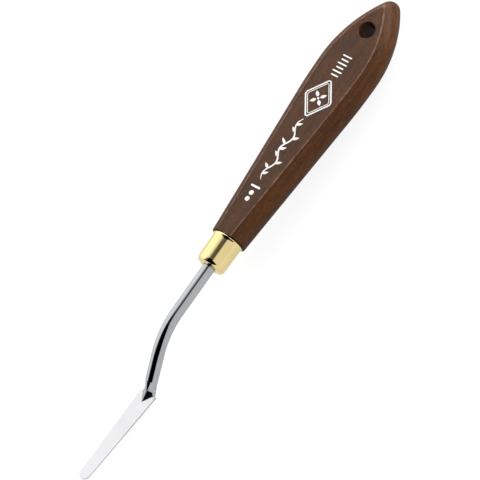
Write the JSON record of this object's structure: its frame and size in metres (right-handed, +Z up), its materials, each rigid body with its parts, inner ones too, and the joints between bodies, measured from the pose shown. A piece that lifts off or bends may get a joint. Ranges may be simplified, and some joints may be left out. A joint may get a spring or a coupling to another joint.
{
  "type": "palette knife",
  "caption": "Cranked painting knife with a narrow tapering blade, round shank, brass ferrule and flat-faced stained wooden handle with a hanging hole.",
  "frame": {"origin": "centre of the footprint box, on the table plane on which the knife rests", "axes": "+X from the blade's tip towards the handle's butt, +Y across the knife, +Z up out of the table; the knife lies decorated face up on its heel and its butt"},
  "size_m": [0.1864, 0.0222, 0.0168],
  "materials": {
    "stained_wood": "dark brown stain under satin lacquer",
    "ferrule_brass": "polished",
    "polished_steel": "polished spring steel",
    "cured_adhesive": "cured epoxy",
    "white_ink": "thin printed ink"
  },
  "bodies": {
    "root": {"handle": "stained_wood", "ferrule": "ferrule_brass", "blade": "polished_steel", "tang_adhesive": "cured_adhesive"}
  },
  "joints": []
}
